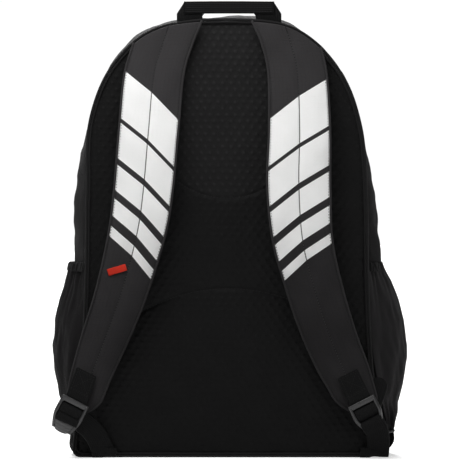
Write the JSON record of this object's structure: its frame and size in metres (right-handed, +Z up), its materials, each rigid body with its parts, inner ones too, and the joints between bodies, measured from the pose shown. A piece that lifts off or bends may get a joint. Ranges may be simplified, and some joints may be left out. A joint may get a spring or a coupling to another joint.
{
  "type": "racket backpack",
  "caption": "Padded backpack for rackets with curved shoulder straps, grab handle, zipped flap, zipped front pocket and two open side pockets.",
  "frame": {"origin": "centre of the flat base panel's underside, level with the surface the pack stands on", "axes": "+Z up along the pack's height, -Y out of the back panel towards the wearer, +X to the right seen from behind"},
  "size_m": [0.386, 0.2643, 0.502],
  "materials": {
    "shell_fabric": "charcoal polyester, fine ripstop weave",
    "base_fabric": "coated abrasion fabric",
    "board": "smooth polyethylene sheet",
    "zip_tape": "woven zip tape",
    "zip_teeth": "coil teeth",
    "elastic": "gathered elastic binding",
    "piping": "tape binding",
    "foam": "closed-cell foam",
    "lining": "plain woven lining",
    "back_mesh": "black air mesh embossed with a small hexagon pattern",
    "strap_fabric": "charcoal ripstop over foam",
    "print_white": "matt white print on fabric",
    "accent": "red woven tab",
    "webbing": "ribbed nylon webbing",
    "buckle_plastic": "moulded acetal, satin",
    "zip_slider": "dark satin zinc",
    "pull_rubber": "soft moulded rubber"
  },
  "bodies": {
    "pack": {"main_shell": "shell_fabric", "base_panel": "base_fabric", "base_board": "board", "front_panel": "shell_fabric", "main_zip_tape_body": "zip_tape", "main_zip_teeth_body": "zip_teeth", "main_zip_stops": "webbing", "front_pocket": "shell_fabric", "pocket_zip_tape": "zip_tape", "pocket_zip_teeth": "zip_teeth", "side_pocket_left": "shell_fabric", "side_pocket_right": "shell_fabric", "pocket_hem_left": "elastic", "pocket_hem_right": "elastic", "back_piping": "piping", "back_carrier": "lining", "frame_sheet": "board", "back_pad_upper": "foam", "back_pad_middle": "foam", "back_pad_lower": "foam", "back_mesh_cover": "back_mesh", "racket_divider": "lining", "divider_binding": "piping", "handle_anchors": "webbing", "strap_yoke_left": "strap_fabric", "strap_yoke_right": "strap_fabric", "lower_webbing_left": "webbing", "lower_webbing_right": "webbing", "webbing_anchor_left": "webbing", "webbing_anchor_right": "webbing"},
    "flap": {"top_flap": "shell_fabric", "flap_fold": "shell_fabric", "main_zip_tape_flap": "zip_tape", "main_zip_teeth_flap": "zip_teeth"},
    "slider_left": {"main_slider_left": "zip_slider"},
    "slider_right": {"main_slider_right": "zip_slider"},
    "pull_left": {"main_pull_left": "pull_rubber"},
    "pull_right": {"main_pull_right": "pull_rubber"},
    "pocket_slider": {"pocket_slider": "zip_slider"},
    "pocket_pull": {"pocket_pull": "pull_rubber"},
    "handle": {"grab_handle": "webbing"},
    "strap_left": {"strap_pad_left": "strap_fabric", "strap_lining_left": "back_mesh", "strap_tab_left": "webbing", "accent_tab": "accent"},
    "strap_right": {"strap_pad_right": "strap_fabric", "strap_lining_right": "back_mesh", "strap_tab_right": "webbing"},
    "buckle_left": {"ladder_lock_left": "buckle_plastic", "webbing_tail_left": "webbing"},
    "buckle_right": {"ladder_lock_right": "buckle_plastic", "webbing_tail_right": "webbing"}
  },
  "joints": [
    {"name": "flap_open", "type": "hinge", "parent": "pack", "child": "flap", "pos_m": [0, 0.066, 0.29], "axis": [-1, 0, 0], "range_deg": [0, 88]},
    {"name": "slider_left_run", "type": "hinge", "parent": "pack", "child": "slider_left", "pos_m": [0, 0.066, 0.29], "axis": [0, -1, 0], "range_deg": [0, 83]},
    {"name": "slider_right_run", "type": "hinge", "parent": "pack", "child": "slider_right", "pos_m": [0, 0.066, 0.29], "axis": [0, 1, 0], "range_deg": [0, 83]},
    {"name": "pull_left_swing", "type": "hinge", "parent": "slider_left", "child": "pull_left", "pos_m": [-0.01372, 0.066, 0.44453], "axis": [0, 1, 0], "range_deg": [0, 95]},
    {"name": "pull_right_swing", "type": "hinge", "parent": "slider_right", "child": "pull_right", "pos_m": [0.01372, 0.066, 0.44453], "axis": [0, -1, 0], "range_deg": [0, 95]},
    {"name": "pocket_slider_run", "type": "slide", "parent": "pack", "child": "pocket_slider", "axis": [1, 0, 0], "range_m": [0, 0.196]},
    {"name": "pocket_pull_swing", "type": "hinge", "parent": "pocket_slider", "child": "pocket_pull", "pos_m": [-0.0965, 0.1165, 0.2378], "axis": [1, 0, 0], "range_deg": [0, 80]},
    {"name": "handle_swing", "type": "hinge", "parent": "pack", "child": "handle", "pos_m": [0.0025, -0.088, 0.479], "axis": [-1, 0, 0], "range_deg": [-75, 45]},
    {"name": "strap_left_swing", "type": "hinge", "parent": "pack", "child": "strap_left", "pos_m": [-0.073, -0.108, 0.47], "axis": [-1, 0, 0], "range_deg": [0, 12]},
    {"name": "strap_right_swing", "type": "hinge", "parent": "pack", "child": "strap_right", "pos_m": [0.072, -0.108, 0.47], "axis": [-1, 0, 0], "range_deg": [0, 12]},
    {"name": "buckle_left_tilt", "type": "hinge", "parent": "strap_left", "child": "buckle_left", "pos_m": [-0.168, -0.1345, 0.061], "axis": [-0.9367, 0, 0.3502], "range_deg": [0, 35]},
    {"name": "buckle_right_tilt", "type": "hinge", "parent": "strap_right", "child": "buckle_right", "pos_m": [0.148, -0.1345, 0.0605], "axis": [-0.9026, 0, -0.4305], "range_deg": [0, 35]}
  ]
}
